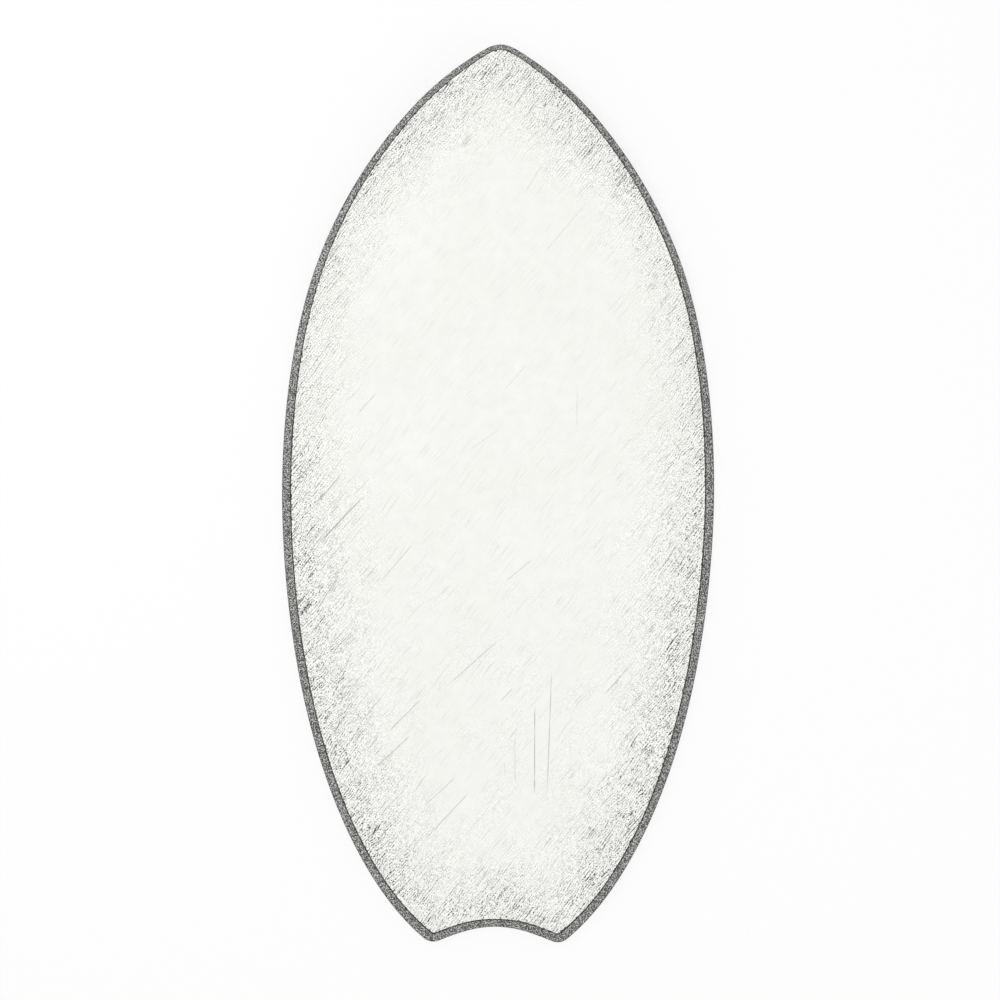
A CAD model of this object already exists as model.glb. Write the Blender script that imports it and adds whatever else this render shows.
"""The looks of the skimboard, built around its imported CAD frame.

+X is starboard, +Y the nose and +Z up out of the deck. The board's outline and section, the
scratches and the distances from the edge are in millimetres, and all else is in metres. Noise has
its scale in waves per metre.
"""

import math

import bmesh
import bpy
import numpy as np
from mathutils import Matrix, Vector, noise


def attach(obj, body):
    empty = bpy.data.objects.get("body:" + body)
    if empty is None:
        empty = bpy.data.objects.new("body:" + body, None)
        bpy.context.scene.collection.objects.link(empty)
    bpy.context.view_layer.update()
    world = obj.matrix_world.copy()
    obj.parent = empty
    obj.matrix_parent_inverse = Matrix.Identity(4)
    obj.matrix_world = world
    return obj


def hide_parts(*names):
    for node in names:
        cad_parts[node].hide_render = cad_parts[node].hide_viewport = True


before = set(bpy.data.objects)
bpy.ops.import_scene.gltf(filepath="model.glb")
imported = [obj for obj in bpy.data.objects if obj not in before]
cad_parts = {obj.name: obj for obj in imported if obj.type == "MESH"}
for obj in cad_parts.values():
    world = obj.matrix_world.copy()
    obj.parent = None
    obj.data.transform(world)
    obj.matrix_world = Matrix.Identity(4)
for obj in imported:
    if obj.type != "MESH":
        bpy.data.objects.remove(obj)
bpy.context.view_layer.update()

MM = 0.001

# The board, as the CAD has it.
LENGTH = 1041
WIDTH = 502
FLAT_LENGTH = 560
NOSE_LIFT = 38
ARC_START = FLAT_LENGTH - LENGTH / 2
ARC_RUN = LENGTH - FLAT_LENGTH
ARC_RADIUS = (ARC_RUN ** 2 + NOSE_LIFT ** 2) / (2 * NOSE_LIFT)

# The height at which each layer starts, and where the core stops.
BOTTOM_COAT = 0
BOTTOM_OUTER_PLY = 0.5
BOTTOM_INNER_PLY = 1.1
CORE = (1.7, 14.4)
DECK_INNER_PLY = 14.4
DECK_OUTER_PLY = 15.0
DECK_COAT = 15.6

# How far in from the outline the rail's bevel ends and its inner wall stands.
RAIL_BEVEL = 10.5
RAIL_INNER = 21.3

# The rounds at the tail's two points: the outline's, the deck's and the rail's inner wall's.
TAIL_CORNER = 17
DECK_CORNER = 5
INNER_CORNER = 3

# Control points on the starboard side: shares of half the width and of the length from the tail,
# then how far the point moves in and up, as shares of an inset.
AFT_SHARES = [
    (0.298, -0.0026, 0.26, 1.20),
    (0.552, 0.043, 0.55, 1.07),
    (0.932, 0.226, 1.04, 0.23),
    (1, 0.434, 1.02, 0),
    (1, 0.505, 1.02, 0),
]
FORWARD_SHARES = [
    (1, 0.505, 1.02, 0),
    (1, 0.578, 1.02, 0),
    (0.930, 0.755, 0.77, -0.66),
    (0.440, 0.934, 0.27, -0.85),
    (0.106, 0.991, 0.29, -0.63),
    (0.038, 1, 0.14, -0.63),
    (0, 1, 0, -0.63),
]
TAIL_SHARES = [
    (0.030, 0.0172, 0.02, 0.88),
    (0.150, 0.0130, 0.10, 1.07),
    AFT_SHARES[0],
]


# The outline.

# The splines' degree, and how far short of the last knot a place is kept, to lie in a span.
DEGREE = 3
LAST_SPAN_MARGIN = 1e-9

# How finely the curves are sampled to find the tail's rounds, and the first sample that is tried,
# a little past the point where the two curves meet.
CORNER_SAMPLES = 1500
CORNER_FIRST_SAMPLE = 5

# How finely each of the outline's parts is sampled to space its points evenly, and the fewest
# spaces that it gets.
PART_SPANS = 800
FEWEST_SPACES = 4

# How far apart the points are round the layers and along the rails.
LAYER_STEP = 2.5
RAIL_STEP = 0.9


def poles(rows, inset):
    """Control points at an inset, as an array of places across and along."""
    across_share, along_share, inward_share, upward_share = np.array(rows, float).T
    across = WIDTH / 2 * across_share - inset * inward_share
    along = LENGTH * (along_share - 0.5) + inset * upward_share
    return np.stack([across, along], 1)


def tail_poles(inset):
    starboard = poles(TAIL_SHARES, inset)
    return np.concatenate([starboard[::-1] * (-1, 1), starboard])


def ratio(top, bottom):
    """The ratio, or nothing where two knots meet."""
    return top / bottom if bottom else np.zeros_like(top)


def spline(points, turns):
    """A clamped cubic spline over control points, at shares of its run from 0 to 1."""
    spans = len(points) - DEGREE
    knots = [0.0] * DEGREE + [float(knot) for knot in range(spans + 1)] + [float(spans)] * DEGREE
    place = np.clip(np.asarray(turns, float) * spans, 0, spans - LAST_SPAN_MARGIN)
    weights = [(low <= place) & (place < high) for low, high in zip(knots, knots[1:])]
    for order in range(1, DEGREE + 1):
        held = list(zip(knots, knots[order:], weights))
        rising = [ratio(place - low, high - low) * weight for low, high, weight in held]
        falling = [ratio(high - place, high - low) * weight for low, high, weight in held]
        weights = [up + down for up, down in zip(rising, falling[1:])]
    return np.array(weights).T @ points


def left_of(points):
    """Unit normals to the left of a line of points, which is into the board."""
    run = np.gradient(points, axis=0)
    run /= np.linalg.norm(run, axis=1)[:, None]
    return np.stack([-run[:, 1], run[:, 0]], 1)


def tail_round(inset, radius):
    """The round at the tail's point: its centre, and the shares where it meets the two curves."""
    tail_turns = np.linspace(0.5, 1, CORNER_SAMPLES)
    aft_turns = np.linspace(0, 0.5, CORNER_SAMPLES)
    tail = spline(tail_poles(inset), tail_turns)
    aft = spline(poles(AFT_SHARES, inset), aft_turns)
    centres = aft + radius * left_of(aft)
    gaps = np.linalg.norm(centres[:, None] - tail[None], axis=2)
    clear = gaps.min(axis=1) >= radius
    found = int(np.argmax(clear[CORNER_FIRST_SAMPLE:])) + CORNER_FIRST_SAMPLE
    return centres[found], tail_turns[gaps[found].argmin()], aft_turns[found]


def half_outline(inset, radius, shares):
    """The starboard outline from the tail's middle to the nose, at shares of its four parts."""
    centre, tail_turn, aft_turn = tail_round(inset, radius)
    tail = spline(tail_poles(inset), 0.5 + (tail_turn - 0.5) * shares[0])
    aft = spline(poles(AFT_SHARES, inset), aft_turn + (1 - aft_turn) * shares[2])
    forward = spline(poles(FORWARD_SHARES, inset), shares[3])
    start, end = tail[-1] - centre, aft[0] - centre
    first = math.atan2(start[1], start[0])
    turn = (math.atan2(end[1], end[0]) - first) % (2 * math.pi)
    angles = first + turn * shares[1]
    bend = centre + radius * np.stack([np.cos(angles), np.sin(angles)], 1)
    return np.concatenate([tail[:-1], bend[:-1], aft[:-1], forward])


def whole_outline(half):
    """The closed outline, anticlockwise from the tail's middle."""
    return np.concatenate([half, half[-2:0:-1] * (-1, 1)])


def distances(points):
    """How far each point of a line is along it."""
    return np.concatenate([[0], np.linalg.norm(np.diff(points, axis=0), axis=1).cumsum()])


def even_shares(step):
    """Shares of the four parts that put points at even distances round the full outline."""
    fine = np.linspace(0, 1, PART_SPANS + 1)
    whole = half_outline(0, TAIL_CORNER, [fine] * 4)
    found = []
    for part in range(4):
        run = distances(whole[part * PART_SPANS:(part + 1) * PART_SPANS + 1])
        count = max(FEWEST_SPACES, round(run[-1] / step))
        found.append(np.interp(np.linspace(0, run[-1], count + 1), run, fine))
    return found


layer_shares = even_shares(LAYER_STEP)
rail_shares = even_shares(RAIL_STEP)


def lift(along, height):
    """How high a face at this height of the board stands over the ground, with the nose's rise."""
    radius = ARC_RADIUS - height
    past = np.maximum(along - ARC_START, 0)
    return ARC_RADIUS - np.sqrt(radius ** 2 - past ** 2)


def raised(points, height):
    """Points of a plan, in millimetres, as places in space, in metres."""
    return np.column_stack([points, lift(points[:, 1], height)]) * MM


# Meshes.

# How many points are measured at a time, and how near, in metres, points have to be to merge.
POINTS_AT_ONCE = 500
MERGE_DISTANCE = 0.00002

# The shares of the way from a layer's rim to the centre line at which it has rings of points.
FILL_SHARES = [0.04, 0.09, 0.16, 0.25, 0.36, 0.48, 0.61, 0.75, 0.88, 1.0]

# Where the rings end on the centre line, and the part of the rim that they follow, as shares of
# the length from the board's middle.
SPINE_TAIL_SHARE = -0.36
SPINE_NOSE_SHARE = 0.43
RIM_TAIL_SHARE = -0.495


def add_mesh(name, points, faces, smooth=True):
    mesh = bpy.data.meshes.new(name)
    mesh.from_pydata([tuple(point) for point in points], [], faces)
    mesh.validate()
    mesh.polygons.foreach_set("use_smooth", [smooth] * len(mesh.polygons))
    mesh.update()
    piece = bpy.data.objects.new(name, mesh)
    bpy.context.scene.collection.objects.link(piece)
    return piece


def set_attribute(piece, name, values):
    attribute = piece.data.attributes.new(name, "FLOAT", "POINT")
    attribute.data.foreach_set("value", np.asarray(values, np.float32))


def ring_faces(rows, count):
    """The quads between rows of closed lines, each with the same count of points."""
    faces = []
    for low in range(0, (rows - 1) * count, count):
        high = low + count
        for here in range(count):
            there = (here + 1) % count
            faces.append((low + here, low + there, high + there, high + here))
    return faces


def close_up(piece):
    """Close the seam that a layer's two sides leave on the centre line, and face all outwards."""
    work = bmesh.new()
    work.from_mesh(piece.data)
    bmesh.ops.remove_doubles(work, verts=work.verts, dist=MERGE_DISTANCE)
    bmesh.ops.recalc_face_normals(work, faces=work.faces)
    work.to_mesh(piece.data)
    work.free()
    piece.data.update()


def edge_distance(points, outline):
    """How far each point of a plan is from a closed outline."""
    start, run = outline, np.roll(outline, -1, axis=0) - outline
    found = []
    for block in np.array_split(points, max(1, len(points) // POINTS_AT_ONCE)):
        away = block[:, None] - start[None]
        share = np.clip((away * run).sum(2) / (run ** 2).sum(1), 0, 1)
        found.append(np.linalg.norm(away - share[..., None] * run, axis=2).min(1))
    return np.concatenate(found)


def spine(half):
    """How far along the centre line each point of a half outline is drawn."""
    start, end = SPINE_TAIL_SHARE * LENGTH, SPINE_NOSE_SHARE * LENGTH
    along = np.clip(half[:, 1], RIM_TAIL_SHARE * LENGTH, None)
    return start + (along - along.min()) / (along.max() - along.min()) * (end - start)


def fill(edge):
    """Rings of points inside a half outline, each nearer to the centre line."""
    tail_count = len(layer_shares[0]) + len(layer_shares[1]) - 2
    ends = np.column_stack([np.zeros(len(edge)), spine(edge)])
    ends[:tail_count] = ends[tail_count]
    return [edge + (ends - edge) * share for share in FILL_SHARES]


def add_layer(name, rims):
    """A closed sheet: rims from its underside's edge to its face's edge, filled on both sides.

    Each rim is an inset, a corner radius and a height.
    """
    edges = [half_outline(inset, radius, layer_shares) for inset, radius, _ in rims]
    levels = [height for _, _, height in rims]
    under, over = fill(edges[0])[::-1], fill(edges[-1])
    heights = [levels[0]] * len(under) + levels + [levels[-1]] * len(over)
    plans = [whole_outline(ring) for ring in under + edges + over]
    points = np.concatenate([raised(plan, height) for plan, height in zip(plans, heights)])
    piece = add_mesh(name, points, ring_faces(len(plans), len(plans[0])))
    inset, radius, _ = min(rims)
    limit = whole_outline(half_outline(inset, radius, layer_shares))
    set_attribute(piece, "edge", edge_distance(np.concatenate(plans), limit))
    close_up(piece)
    return piece


# The rails.

# The foot and the toe under the outer edge: insets, and heights over the core's underside.
RAIL_TOE = [(RAIL_INNER, 0.02), (12, 0.02), (1.1, 0.02), (0.42, 0.05), (0.20, 0.16), (0.22, 0.32)]

# The bevel's stippled rows: where they start, how many there are, and over how many they fade.
BEVEL_START = 0.55
BEVEL_ROWS = 20
FADE_IN_ROWS = 2
FADE_OUT_ROWS = 1.5

# The groove beside the deck: its width, and its depths at distances past its start.
GROOVE_WIDTH = 1.3
GROOVE = [(0.12, 0.32), (0.4, 0.62), (0.8, 0.7), (1.15, 0.6)]

# The head under the deck's plies: insets past the bevel's end, depths under the core's top, and
# whether the point still lies in the groove.
RAIL_HEAD = [(0.1, 0.3, 1), (1.1, 0.02, 0), (RAIL_INNER - RAIL_BEVEL, 0.02, 0)]

# The stipple: how deep its deepest pits are, in metres, the share of that which is there without
# noise, then for two noises the waves per metre and the share that each adds or takes.
STIPPLE_DEPTH = 0.00034
STIPPLE_MIDDLE = 0.5
STIPPLE_COARSE = (420, 0.75)
STIPPLE_FINE = (900, 0.45)
STIPPLE_FINE_SHIFT = Vector((7, 3, 5))

# The eased ends at the joints: how far back they start, in metres, and how steep they are.
JOINT_CHAMFER = 0.0007
JOINT_SLOPE = 0.8


def rail_profile():
    """The rail's section, from the foot of its inner wall round to the wall's head.

    Each point is an inset from the outline, a height, how far the surface is stippled, from 0 to 1,
    and whether it lies in the groove.
    """
    low, high = CORE
    slope = (high - low) / RAIL_BEVEL
    groove_start = RAIL_BEVEL - GROOVE_WIDTH
    section = [(inset, low + rise, 0, 0) for inset, rise in RAIL_TOE]
    for row in range(BEVEL_ROWS):
        left = BEVEL_ROWS - 1 - row
        inset = BEVEL_START + (groove_start - BEVEL_START) * row / (BEVEL_ROWS - 1)
        fade = min(1, row / FADE_IN_ROWS, left / FADE_OUT_ROWS)
        section.append((inset, low + slope * inset, fade, 0))
    for past, depth in GROOVE:
        inset = groove_start + past
        section.append((inset, low + slope * inset - depth, 0, 1))
    section += [(RAIL_BEVEL + past, high - depth, 0, grooved) for past, depth, grooved in RAIL_HEAD]
    return section


def relief(point):
    """The stipple's depth at a point: pits between grains about two millimetres apart."""
    place = Vector(point)
    (coarse_scale, coarse_share), (fine_scale, fine_share) = STIPPLE_COARSE, STIPPLE_FINE
    coarse = noise.noise(place * coarse_scale)
    fine = noise.noise(place * fine_scale + STIPPLE_FINE_SHIFT)
    depth = STIPPLE_MIDDLE + coarse_share * coarse + fine_share * fine
    return STIPPLE_DEPTH * min(1, max(0, depth))


def end_drop(points):
    """How far the rail's two ends are eased down, as each joint has a small chamfer."""
    run = distances(points.mean(axis=1))
    near = np.minimum(run, run[-1] - run)
    return np.clip(JOINT_CHAMFER - near, 0, None)[:, None] * JOINT_SLOPE


def rail_outward(lower, upper):
    """The bevel's unit normals, up and out of the board."""
    low, high = CORE
    run = np.gradient(np.column_stack([lower, lift(lower[:, 1], low)]), axis=0)
    rise = np.column_stack([upper - lower, lift(upper[:, 1], high) - lift(lower[:, 1], low)])
    out = np.cross(run, rise)
    out /= np.linalg.norm(out, axis=1)[:, None]
    return np.where(out[:, 2:] < 0, -out, out)


def rail_lines(first, last, mirrored, both_sides):
    """The outline, the bevel's end and the inner wall between two points of the half outline."""
    walls = ((0, TAIL_CORNER), (RAIL_BEVEL, DECK_CORNER), (RAIL_INNER, INNER_CORNER))
    lines = [half_outline(inset, radius, rail_shares)[first:last + 1] for inset, radius in walls]
    if both_sides:
        lines = [np.concatenate([line[:0:-1] * (-1, 1), line]) for line in lines]
    if mirrored:
        lines = [line[::-1] * (-1, 1) for line in lines]
    return lines


def add_rail(name, first, last, mirrored=False, both_sides=False):
    """One rail, between two points of the half outline, or across the tail's middle."""
    lower, upper, inner = rail_lines(first, last, mirrored, both_sides)
    insets, heights, stippled, grooved = np.array(rail_profile()).T
    columns = []
    for inset, height in zip(insets, heights):
        if inset <= RAIL_BEVEL:
            plan = lower + (upper - lower) * (inset / RAIL_BEVEL)
        else:
            plan = upper + (inner - upper) * ((inset - RAIL_BEVEL) / (RAIL_INNER - RAIL_BEVEL))
        columns.append(raised(plan, height))
    points = np.stack(columns, 1)

    stipple = np.zeros(points.shape[:2])
    for column in np.flatnonzero(stippled):
        stipple[:, column] = [stippled[column] * relief(point) for point in points[:, column]]
    sunk = stipple + end_drop(points) * (stippled > 0)
    points = points - rail_outward(lower, upper)[:, None] * sunk[..., None]

    rows, count = stipple.shape
    ends = [tuple(range(count))[::-1], tuple(range((rows - 1) * count, rows * count))]
    piece = add_mesh(name, points.reshape(-1, 3), ring_faces(rows, count) + ends)
    set_attribute(piece, "groove", np.tile(grooved, rows))
    set_attribute(piece, "across", np.tile(np.minimum(1, insets / RAIL_BEVEL), rows))
    set_attribute(piece, "pit", stipple.reshape(-1) / STIPPLE_DEPTH)
    close_up(piece)
    return piece


# Materials.

class Shader:
    """A material's nodes, with short ways to add and join them."""

    def __init__(self, name):
        self.material = bpy.data.materials.new(name)
        self.material.use_nodes = True
        self.tree = self.material.node_tree
        self.surface = self.tree.nodes["Principled BSDF"]
        self.place = self.add("TexCoord").outputs["Object"]

    def add(self, kind, inputs=(), **settings):
        node = self.tree.nodes.new("ShaderNode" + kind)
        for key, setting in settings.items():
            setattr(node, key, setting)
        for key, given in dict(inputs).items():
            self.give(node.inputs[key], given)
        return node

    def give(self, socket, given):
        if isinstance(given, bpy.types.NodeSocket):
            self.tree.links.new(given, socket)
        else:
            socket.default_value = given

    def set(self, **inputs):
        for key, given in inputs.items():
            self.give(self.surface.inputs[key.replace("_", " ")], given)

    def math(self, operation, first, second=0.0, third=0.0):
        return self.add("Math", {0: first, 1: second, 2: third}, operation=operation).outputs[0]

    def plus(self, first, second):
        return self.math("ADD", first, second)

    def times(self, first, second):
        return self.math("MULTIPLY", first, second)

    def line(self, given, slope, start):
        """The given amount times a slope, from a start."""
        return self.math("MULTIPLY_ADD", given, slope, start)

    def spread(self, pattern, amount):
        """A pattern of 0 to 1, made to vary by an amount about 0."""
        return self.line(pattern, amount, -amount / 2)

    def vector(self, operation, first, second, output="Vector"):
        return self.add("VectorMath", {0: first, 1: second}, operation=operation).outputs[output]

    def split(self, vector):
        return self.add("SeparateXYZ", {0: vector}).outputs

    def attribute(self, name):
        return self.add("Attribute", attribute_name=name).outputs["Fac"]

    def mapped(self, turn=0.0, scale=(1, 1, 1), move=(0, 0, 0), vector=None):
        """A place turned, then moved, then scaled."""
        inputs = {"Vector": vector or self.place, "Rotation": (0, 0, turn), "Location": move}
        turned = self.add("Mapping", inputs).outputs[0]
        return self.add("Mapping", {"Vector": turned, "Scale": scale}).outputs[0]

    def noise(self, scale=1.0, detail=2.0, roughness=0.5, vector=None, dimensions="3D"):
        inputs = {"Scale": scale, "Detail": detail, "Roughness": roughness}
        inputs["Vector"] = vector or self.place
        return self.add("TexNoise", inputs, noise_dimensions=dimensions).outputs[0]

    def streaks(self, turn, scale, move=(0, 0), detail=0.0, roughness=0.5, vector=None):
        """Flat noise in a turned frame, with a scale for each way: the smaller, the longer."""
        place = self.mapped(turn, (*scale, 1), (*move, 0), vector)
        return self.noise(1.0, detail, roughness, place, dimensions="2D")

    def ramp(self, given, limits, levels=(0.0, 1.0), smooth=True):
        """From the first level at the first limit to the second at the second, and held beyond."""
        kind = "SMOOTHSTEP" if smooth else "LINEAR"
        inputs = {0: given, 1: limits[0], 2: limits[1], 3: levels[0], 4: levels[1]}
        return self.add("MapRange", inputs, interpolation_type=kind).outputs[0]

    def grey(self, level, blue_share=1.0):
        """A grey of a level, with a share of it for its blue."""
        blue = self.times(level, blue_share)
        return self.add("CombineColor", {0: level, 1: level, 2: blue}).outputs[0]

    def mix(self, share, first, second, clamp=True):
        node = self.add("Mix", data_type="RGBA", clamp_factor=clamp)
        self.give(node.inputs[0], share)
        self.give(node.inputs[6], first)
        self.give(node.inputs[7], second)
        return node.outputs[2]

    def bump(self, height, distance):
        inputs = {"Height": height, "Distance": distance, "Strength": 1.0}
        return self.add("Bump", inputs).outputs[0]


# The deck's colours.
DECK_CREAM = (0.890, 0.900, 0.852, 1)
DECK_WHITE = (0.942, 0.951, 0.912, 1)
SCUFF_GREY = (0.09, 0.09, 0.088, 1)
SCRATCH_GREY = (0.35, 0.35, 0.34, 1)
SEAM_GREY = (0.045, 0.045, 0.044, 1)

# How the deck's strokes slant, and the pitch, in metres, of their lines and of the dashes in them.
STROKE_TURN = math.radians(-52)
HATCH_PITCH = 0.0028
DASH_PITCH = 0.0044

# How far the strokes bend, in metres, and how far the hatching's waves wander, in radians.
STROKE_BEND = 0.010
HATCH_WANDER = 15

# The scuffs: how far they reach in from the edge, in millimetres, and how sharply they fade there,
# then their reach and depth where they are least, which is a stretch forward of the middle. That
# stretch comes in and goes out between two places each, in metres from the middle.
SCUFF_REACH = 52.0
SCUFF_FADE_POWER = 1.35
SPARED_REACH = 36.0
SPARED_DEPTH = 0.76
SPARED_START = (-0.12, 0.20)
SPARED_END = (0.30, 0.45)

# Going aft between two places, the patches over the deck's middle and the hairs grow from a first
# depth to a second, and at the tail the scuffs' greatest depth sinks.
INNER_PLACES = (0.10, -0.35)
INNER_DEPTHS = (0.035, 0.12)
HAIR_PLACES = (0.16, 0.0)
HAIR_DEPTHS = (0.045, 0.080)
TAIL_PLACES = (-0.43, -0.49)
TAIL_DEPTHS = (0.88, 0.72)

# How far the reach varies from patch to patch, how far the dashes break up the hatching, what each
# pattern adds to the scuffs, and the most that a pale one stands out.
PATCH_VARIATION = (0.78, 1.22)
DASH_SHARE = 0.40
HATCH_AMOUNT = 0.52
STROKE_AMOUNT = 0.54
GRAIN_AMOUNT = 3.2
HAIR_AMOUNT = 0.58
PALE_LIMIT = -0.12

# Longer scratches on the deck: both ends, the width, and how dark it is.
SCRATCHES = [
    ((44.0, -243), (44.4, -351), 0.9, 0.20),
    ((63.4, -203), (58.9, -351), 0.9, 0.17),
    ((21.2, -281), (21.6, -334), 0.8, 0.09),
    ((9.0, -310), (9.2, -328), 0.8, 0.08),
    ((77.5, -411), (78.0, -462), 0.8, 0.06),
    ((91.2, 122), (90.9, 78), 0.8, 0.08),
    ((1, -170), (-54, -220), 0.9, 0.15),
    ((-87, -238), (-126, -277), 0.9, 0.15),
    ((-99, -280), (-141, -319), 1.0, 0.17),
    ((-156, -4), (-208, -59), 1.0, 0.24),
    ((-180, 24), (-210, -12), 0.9, 0.2),
    ((-170, -46), (-206, -90), 0.9, 0.13),
    ((-98, -58), (-136, -103), 0.9, 0.12),
    ((-183, -93), (-212, -141), 0.9, 0.18),
    ((41, -75), (9, -102), 0.9, 0.11),
    ((160, -192), (124, -233), 0.9, 0.12),
    ((-31, -346), (-77, -396), 0.9, 0.14),
    ((-46, -328), (-85, -364), 0.9, 0.12),
    ((19, -225), (4, -241), 0.9, 0.12),
    ((101, 338), (51, 279), 0.8, 0.07),
    ((50, 384), (29, 349), 0.8, 0.09),
    ((34, 152), (5, 119), 0.8, 0.07),
    ((2, 76), (-33, 51), 0.8, 0.06),
    ((-142, 116), (-163, 93), 0.8, 0.12),
]

# How strongly all of them show, how much of their width is fully dark, and over how much of their
# length they fade at each end.
SCRATCH_AMOUNT = 3.4
SCRATCH_CORE_SHARE = 0.35
SCRATCH_FADE_SHARE = 0.15


def scuff_depth(shader, edge, along):
    """How strong the deck's scuffs are: they fade inwards from the edge, in patches."""
    patches = shader.noise(vector=shader.mapped(STROKE_TURN, (16, 30, 1)))
    spared = shader.ramp(along, SPARED_END, (0.0, -1.0))
    spared = shader.plus(shader.ramp(along, SPARED_START), spared)
    reach = shader.line(spared, SPARED_REACH - SCUFF_REACH, SCUFF_REACH)
    reach = shader.times(reach, shader.ramp(patches, (0.30, 0.70), PATCH_VARIATION, smooth=False))
    fading = shader.math("POWER", shader.math("DIVIDE", edge, reach), SCUFF_FADE_POWER)
    depth = shader.math("EXPONENT", shader.times(fading, -1.0))
    depth = shader.times(depth, shader.line(spared, SPARED_DEPTH - 1.0, 1.0))
    inner = shader.ramp(along, INNER_PLACES, INNER_DEPTHS)
    inner = shader.times(inner, shader.ramp(patches, (0.35, 0.65)))
    depth = shader.math("MAXIMUM", depth, inner)
    return shader.math("MINIMUM", depth, shader.ramp(along, TAIL_PLACES, TAIL_DEPTHS))


def wave(shader, distance, pitch, phase=0.0):
    """A wave from -1 to 1 over a distance."""
    return shader.math("SINE", shader.line(distance, 2 * math.pi / pitch, phase))


def scuff_marks(shader, along, depth, grain):
    """The deck's scuffs, by how dark they are.

    Near the edge they are close lines broken into dashes, short strokes and grain, busier here and
    there. Longer and finer hairs run on over the middle.
    """
    bend = shader.spread(shader.noise(scale=22, detail=1), STROKE_BEND)
    bent = shader.vector("ADD", shader.place, shader.add("CombineXYZ", {0: bend}).outputs[0])
    run = shader.split(shader.mapped(STROKE_TURN, vector=bent))
    wander = shader.times(shader.noise(scale=55, detail=0), HATCH_WANDER)
    hatch = wave(shader, run[1], HATCH_PITCH, wander)
    dashes = wave(shader, run[0], DASH_PITCH, wander)
    hatch = shader.times(hatch, shader.line(dashes, DASH_SHARE, 1 - DASH_SHARE))
    strokes = shader.streaks(STROKE_TURN, (120, 800), move=(0.1, 0.7), vector=bent)
    strokes = shader.ramp(strokes, (0.50, 0.80))
    busy = shader.streaks(STROKE_TURN, (28, 70), move=(0.5, 0.2), detail=1, vector=bent)
    busy = shader.ramp(busy, (0.34, 0.66), (0.76, 1.16))
    marks = shader.line(hatch, HATCH_AMOUNT, shader.spread(grain, GRAIN_AMOUNT))
    marks = shader.times(shader.line(strokes, STROKE_AMOUNT, marks), busy)
    marks = shader.math("MAXIMUM", shader.times(marks, depth), PALE_LIMIT)
    hairs = shader.streaks(STROKE_TURN, (26, 560), move=(0.3, 0.1), vector=bent)
    hairs = shader.ramp(hairs, (0.73, 0.81))
    hair_depth = shader.line(depth, HAIR_AMOUNT, shader.ramp(along, HAIR_PLACES, HAIR_DEPTHS))
    return shader.plus(marks, shader.times(hairs, hair_depth))


def scratch(shader, start, end, width):
    """A line on the deck, 1 along its middle and 0 off it."""
    origin = Vector((*start, 0)) * MM
    run = Vector((*end, 0)) * MM - origin
    along = run.normalized()
    side = Vector((-along.y, along.x, 0))
    away = shader.vector("SUBTRACT", shader.place, origin)
    passed = shader.vector("DOT_PRODUCT", away, along, "Value")
    off = shader.math("ABSOLUTE", shader.vector("DOT_PRODUCT", away, side, "Value"))
    line = shader.ramp(off, (width * MM * SCRATCH_CORE_SHARE, width * MM), (1.0, 0.0))
    fade = run.length * SCRATCH_FADE_SHARE
    begun = shader.ramp(passed, (0.0, fade))
    unfinished = shader.ramp(passed, (run.length - fade, run.length), (1.0, 0.0))
    return shader.times(line, shader.times(begun, unfinished))


def scratch_lines(shader):
    """All the longer scratches, each as dark as it is, broken here and there."""
    lines = 0.0
    for start, end, width, darkness in SCRATCHES:
        line = shader.times(scratch(shader, start, end, width), darkness * SCRATCH_AMOUNT)
        lines = shader.math("MAXIMUM", line, lines)
    breaks = shader.noise(vector=shader.mapped(scale=(900, 60, 1)))
    return shader.times(lines, shader.ramp(breaks, (0.30, 0.55), (0.35, 1.0)))


def deck_material():
    """Matte off-white gel coat, scuffed in one slanting direction, most of all near the rail."""
    shader = Shader("deck_gel_coat_scuffed")
    edge = shader.attribute("edge")
    along = shader.split(shader.place)[1]
    grain = shader.noise(scale=900, detail=0)
    scuffs = scuff_marks(shader, along, scuff_depth(shader, edge, along), grain)
    lines = scratch_lines(shader)

    clouds = shader.noise(scale=9)
    smudges = shader.noise(scale=70, detail=1)
    smudges = shader.ramp(smudges, (0.25, 0.75), (0.98, 1.02), smooth=False)
    colour = shader.mix(clouds, DECK_CREAM, DECK_WHITE)
    colour = shader.add("VectorMath", {0: colour, "Scale": smudges}, operation="SCALE").outputs[0]
    colour = shader.mix(scuffs, colour, SCUFF_GREY, clamp=False)
    colour = shader.mix(lines, colour, SCRATCH_GREY)

    # The rail's grey creeps over the deck's edge here and there.
    ragged = shader.ramp(shader.noise(scale=240, detail=3), (0.50, 0.78), (0.0, 1.6))
    crept = shader.ramp(shader.math("SUBTRACT", edge, ragged), (-0.05, 0.30), (1.0, 0.0))
    colour = shader.mix(crept, colour, SEAM_GREY)

    height = shader.line(scuffs, -1.0, shader.times(lines, -1.2))
    height = shader.line(grain, 0.25, height)
    roughness = shader.line(clouds, 0.08, shader.line(scuffs, 0.18, 0.50))
    shader.set(Base_Color=colour, Roughness=roughness, Specular_IOR_Level=0.35)
    shader.set(Normal=shader.bump(height, distance=0.00010))
    return shader.material


# The rail's grey: its middle, how far each pattern varies it, its limits, and its share of blue.
RAIL_GREY = 0.15
RAIL_COARSE_AMOUNT = 3.4
RAIL_FINE_AMOUNT = 2.4
RAIL_WIDE_AMOUNT = 0.20
RAIL_PIT_AMOUNT = -0.20
RAIL_DARKEST = 0.045
RAIL_PALEST = 0.72
RAIL_BLUE_SHARE = 0.975


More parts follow.
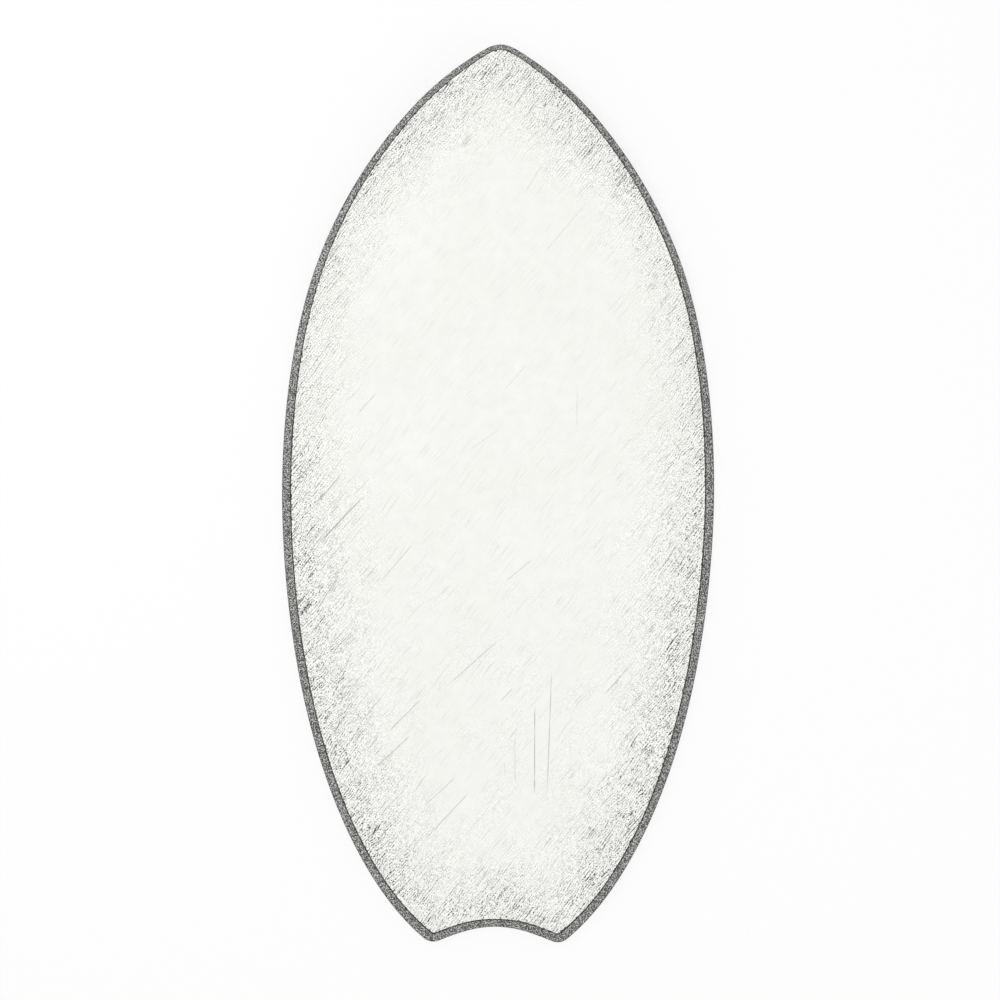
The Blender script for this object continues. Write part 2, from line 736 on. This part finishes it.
def rail_material():
    """Mid-grey moulded rail with salt-and-pepper grains and a dirty groove at the deck."""
    shader = Shader("rail_stippled")
    across = shader.attribute("across")
    coarse = shader.noise(scale=660, detail=0.5)
    fine = shader.noise(scale=1350, roughness=0.6, vector=shader.mapped(move=(3, 5, 7)))
    level = RAIL_GREY
    for pattern, amount in (
        (coarse, RAIL_COARSE_AMOUNT),
        (fine, RAIL_FINE_AMOUNT),
        (shader.noise(scale=26, detail=3), RAIL_WIDE_AMOUNT),
        (shader.attribute("pit"), RAIL_PIT_AMOUNT),
    ):
        level = shader.plus(shader.spread(pattern, amount), level)
    level = shader.math("MINIMUM", shader.math("MAXIMUM", level, RAIL_DARKEST), RAIL_PALEST)

    # It is darker at its outer rim and at the seam.
    rim = shader.ramp(across, (0.13, 0.0), (1.0, 0.15))
    seam = shader.ramp(across, (0.88, 0.94), (1.0, 0.55))
    level = shader.times(level, shader.times(rim, seam))

    dirt = shader.ramp(shader.noise(scale=150), (0.40, 0.68), (0.015, 0.16))
    colour = shader.grey(level, RAIL_BLUE_SHARE)
    colour = shader.mix(shader.attribute("groove"), colour, shader.grey(dirt))
    height = shader.plus(coarse, shader.times(fine, 0.6))
    roughness = shader.line(coarse, 0.25, 0.50)
    shader.set(Base_Color=colour, Roughness=roughness, Specular_IOR_Level=0.30)
    shader.set(Normal=shader.bump(height, distance=0.00035))
    return shader.material


# The underside's colours.
UNDERSIDE_CREAM = (0.80, 0.812, 0.775, 1)
UNDERSIDE_WHITE = (0.92, 0.925, 0.905, 1)
WORN_GREY = (0.48, 0.48, 0.46, 1)
CUT_GREY = (0.30, 0.30, 0.285, 1)
GRIT_BROWN = (0.42, 0.38, 0.31, 1)

# How the sand's two sets of scratches lie to the board.
SCUFFS_TURN = math.radians(3)
CUTS_TURN = math.radians(-9)


def underside_material():
    """Glossy white gel coat with long scratches from the sand and some grit ground in."""
    shader = Shader("bottom_gel_coat_gloss")
    edge = shader.attribute("edge")
    clouds = shader.noise(scale=6, detail=3)
    worn = shader.ramp(shader.line(clouds, 60, edge), (70, 18), (0.40, 1.0))
    scuffs = shader.streaks(SCUFFS_TURN, (1500, 14), detail=2, roughness=0.6)
    scuffs = shader.times(shader.ramp(scuffs, (0.54, 0.70)), worn)
    cuts = shader.streaks(CUTS_TURN, (700, 9), move=(0.2, 0.4), detail=2, roughness=0.6)
    cuts = shader.times(shader.ramp(cuts, (0.61, 0.69)), worn)
    grit = shader.ramp(shader.noise(scale=330, detail=1), (0.70, 0.76))
    colour = shader.mix(clouds, UNDERSIDE_CREAM, UNDERSIDE_WHITE)
    colour = shader.mix(shader.times(scuffs, 0.55), colour, WORN_GREY)
    colour = shader.mix(shader.times(cuts, 0.80), colour, CUT_GREY)
    colour = shader.mix(shader.times(grit, 0.60), colour, GRIT_BROWN)
    roughness = shader.line(cuts, 0.25, shader.line(scuffs, 0.30, 0.13))
    height = shader.line(scuffs, -0.5, shader.times(cuts, -1.0))
    shader.set(Base_Color=colour, Roughness=roughness, Normal=shader.bump(height, distance=0.00006))
    return shader.material


# The cloth's colours, and the length, in metres, of two threads side by side.
GLASS_DEEP = (0.44, 0.48, 0.40, 1)
GLASS_PALE = (0.66, 0.70, 0.61, 1)
GLASS_BLOTCH = (0.50, 0.50, 0.40, 1)
STAIN_DARK = (0.05, 0.05, 0.048, 1)
STAIN_PALE = (0.20, 0.20, 0.195, 1)
WEAVE_REPEAT = 0.0022


def glass_material(name, stained):
    """Cured cloth and resin: pale green in a plain weave, and where stained, grey at the edge."""
    shader = Shader(name)
    across, along, _ = shader.split(shader.place)
    threads = shader.times(wave(shader, across, WEAVE_REPEAT), wave(shader, along, WEAVE_REPEAT))
    threads = shader.math("POWER", shader.math("ABSOLUTE", threads), 0.5)
    blotch = shader.noise(scale=60, detail=3)
    colour = shader.mix(threads, GLASS_DEEP, GLASS_PALE)
    colour = shader.mix(shader.times(blotch, 0.35), colour, GLASS_BLOTCH)
    if stained:
        stain = shader.ramp(shader.attribute("edge"), (0.4, 2.5), (0.85, 0.0))
        dirt = shader.noise(vector=shader.mapped(scale=(300, 300, 2600)))
        colour = shader.mix(stain, colour, shader.mix(dirt, STAIN_DARK, STAIN_PALE))
    shader.set(Base_Color=colour, Roughness=shader.line(blotch, 0.2, 0.32))
    shader.set(Normal=shader.bump(threads, distance=0.00012))
    return shader.material


# The foam's colours.
FOAM_DEEP = (0.72, 0.65, 0.46, 1)
FOAM_PALE = (0.90, 0.85, 0.68, 1)
FOAM_BLOTCH = (0.80, 0.72, 0.50, 1)


def foam_material():
    """Cream closed-cell foam with its cells cut open."""
    shader = Shader("core_foam_cells")
    cells = shader.add("TexVoronoi", {"Vector": shader.place, "Scale": 900.0}).outputs["Distance"]
    clouds = shader.noise(scale=14, detail=3)
    colour = shader.mix(cells, FOAM_DEEP, FOAM_PALE)
    colour = shader.mix(shader.times(clouds, 0.3), colour, FOAM_BLOTCH)
    shader.set(Base_Color=colour, Roughness=shader.line(clouds, 0.1, 0.80))
    shader.set(Normal=shader.bump(cells, distance=0.0002))
    return shader.material


# The pieces.

# Where a layer stops: how far in from the outline, and its round at the tail's points.
UNDER_SIDE = (0, TAIL_CORNER)
DECK_SIDE = (RAIL_BEVEL, DECK_CORNER)

# The layers' edges: how far in each rim lies from there, and how high over the layer's start.
DECK_EDGE = [
    (0.10, 0),
    (0.12, 0.15),
    (0.22, 0.30),
    (0.42, 0.42),
    (0.70, 0.48),
    (1.05, 0.5),
    (2.0, 0.5),
    (4.0, 0.5),
]
UNDERSIDE_EDGE = [(4.0, 0), (2.0, 0), (0.55, 0), (0.22, 0.07), (0.05, 0.22), (0.02, 0.5)]
PLY_EDGE = [(0.02, 0), (0.02, 0.6)]
EASED_PLY_EDGE = [(0.02, 0), (0.08, 0.6)]


def dress(piece, material, node):
    """Give a piece its material, its body and the CAD node that it replaces."""
    piece.data.materials.append(material)
    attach(piece, "root")
    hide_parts(node)


def add_sheet(name, low, side, edge, material, node):
    """A layer from the height it starts at, the side it stops at and its edge."""
    start, radius = side
    rims = [(start + inset, radius, low + height) for inset, height in edge]
    dress(add_layer(name, rims), material, node)


def refinish(name, material):
    """Give a CAD node that stays a material of its own."""
    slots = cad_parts[name].data.materials
    slots.clear()
    slots.append(material)


glass = glass_material("glass_laminate_weave", stained=True)
add_sheet("deck_coat", DECK_COAT, DECK_SIDE, DECK_EDGE, deck_material(),
          "deck_gel_coat")
for name, low, side, edge, node in (
    ("deck_outer_ply", DECK_OUTER_PLY, DECK_SIDE, EASED_PLY_EDGE, "deck_outer_glass"),
    ("deck_inner_ply", DECK_INNER_PLY, DECK_SIDE, PLY_EDGE, "deck_inner_glass"),
    ("bottom_inner_ply", BOTTOM_INNER_PLY, UNDER_SIDE, PLY_EDGE, "bottom_inner_glass"),
    ("bottom_outer_ply", BOTTOM_OUTER_PLY, UNDER_SIDE, PLY_EDGE, "bottom_outer_glass"),
):
    add_sheet(name, low, side, edge, glass, node)
add_sheet("underside_coat", BOTTOM_COAT, UNDER_SIDE, UNDERSIDE_EDGE, underside_material(),
          "bottom_gel_coat")

# The rails join in the middle of the tail's rounds and at the nose.
rail = rail_material()
round_start = len(rail_shares[0]) - 1
joint = round_start + (len(rail_shares[1]) - 1) // 2
nose = sum(len(part) - 1 for part in rail_shares)
dress(add_rail("rail_starboard", joint, nose), rail, "starboard_rail")
dress(add_rail("rail_port", joint, nose, mirrored=True), rail, "port_rail")
dress(add_rail("rail_tail", 0, joint, both_sides=True), rail, "tail_rail")

patch_glass = glass_material("glass_patch_weave", stained=False)
for name in ("nose_patch", "tail_patch", "deck_foot_patch"):
    refinish(name, patch_glass)
refinish("foam_core", foam_material())


# The floor, the light and the camera.

# The floor: half its side, how far it lies under the board, and how much of its white is plain
# where the camera sees it, so that the rest of it holds the shadow.
FLOOR_REACH = 12.0
FLOOR_DROP = 0.0002
FLOOR_PLAIN_SHARE = 0.75
FLOOR_WHITE = (0.98, 0.98, 0.98, 1)

# How strongly the white surroundings light the board.
WORLD_STRENGTH = 0.70

# Each lamp's place, the side of its square and its power.
LAMPS = {
    "key_softbox": ((-1.5, 1.1, 2.4), 1.6, 24),
    "fill_softbox": ((1.6, -0.9, 2.6), 2.0, 14),
}

# The camera: where it stands, how wide its view is at the ground, how far it is turned, as the
# photograph's board leans, its sensor's width in millimetres, and how far it sees.
CAMERA_PLACE = (0.0023, -0.0071, 12.0)
VIEW_WIDTH = 1.1620
CAMERA_ROLL = math.radians(0.337)
SENSOR_WIDTH = 36.0
CLIP_END = 60.0


def white_where_seen(tree, share):
    """A share where the camera, reflections and clear things look, and 0 for other light."""
    path = tree.nodes.new("ShaderNodeLightPath")
    seen = path.outputs["Is Camera Ray"]
    for name in ("Is Glossy Ray", "Is Transmission Ray"):
        either = tree.nodes.new("ShaderNodeMath")
        either.operation = "MAXIMUM"
        tree.links.new(seen, either.inputs[0])
        tree.links.new(path.outputs[name], either.inputs[1])
        seen = either.outputs[0]
    part = tree.nodes.new("ShaderNodeMath")
    part.operation = "MULTIPLY"
    part.inputs[1].default_value = share
    tree.links.new(seen, part.inputs[0])
    return part.outputs[0]


def add_floor():
    near, far = -FLOOR_REACH, FLOOR_REACH
    corners = [(near, near, 0), (far, near, 0), (far, far, 0), (near, far, 0)]
    floor = add_mesh("studio_floor", corners, [(0, 1, 2, 3)], smooth=False)
    material = bpy.data.materials.new("studio_floor_white")
    material.use_nodes = True
    tree = material.node_tree
    surface = tree.nodes["Principled BSDF"]
    surface.inputs["Base Color"].default_value = FLOOR_WHITE
    surface.inputs["Roughness"].default_value = 1.0
    surface.inputs["Specular IOR Level"].default_value = 0.0
    glow = tree.nodes.new("ShaderNodeEmission")
    glow.inputs["Strength"].default_value = 1.0
    both = tree.nodes.new("ShaderNodeMixShader")
    tree.links.new(white_where_seen(tree, FLOOR_PLAIN_SHARE), both.inputs[0])
    tree.links.new(surface.outputs[0], both.inputs[1])
    tree.links.new(glow.outputs[0], both.inputs[2])
    tree.links.new(both.outputs[0], tree.nodes["Material Output"].inputs["Surface"])
    floor.data.materials.append(material)
    floor.location.z = -FLOOR_DROP


def add_world():
    """White where it is seen, and dimmer where it lights the board."""
    world = bpy.data.worlds.new("studio")
    bpy.context.scene.world = world
    world.use_nodes = True
    tree = world.node_tree
    strength = tree.nodes.new("ShaderNodeMapRange")
    strength.inputs["To Min"].default_value = WORLD_STRENGTH
    strength.inputs["To Max"].default_value = 1.0
    tree.links.new(white_where_seen(tree, 1.0), strength.inputs["Value"])
    background = tree.nodes["Background"]
    background.inputs["Color"].default_value = (1, 1, 1, 1)
    tree.links.new(strength.outputs[0], background.inputs["Strength"])


def add_lamp(name, place, side, power):
    """A square lamp that looks at the board's middle."""
    light = bpy.data.lights.new(name, "AREA")
    light.shape = "SQUARE"
    light.size = side
    light.energy = power
    lamp = bpy.data.objects.new(name, light)
    lamp.location = place
    lamp.rotation_euler = (-Vector(place)).to_track_quat("-Z", "Y").to_euler()
    bpy.context.scene.collection.objects.link(lamp)


def add_camera():
    """Straight above, through a long lens."""
    lens = bpy.data.cameras.new("photo_camera")
    lens.type = "PERSP"
    lens.sensor_width = SENSOR_WIDTH
    lens.lens = SENSOR_WIDTH * CAMERA_PLACE[2] / VIEW_WIDTH
    lens.clip_end = CLIP_END
    camera = bpy.data.objects.new("photo_camera", lens)
    camera.location = CAMERA_PLACE
    camera.rotation_euler = (0, 0, CAMERA_ROLL)
    bpy.context.scene.collection.objects.link(camera)
    bpy.context.scene.camera = camera


add_floor()
add_world()
for name, (place, side, power) in LAMPS.items():
    add_lamp(name, place, side, power)
add_camera()
bpy.context.scene.view_settings.view_transform = "Standard"
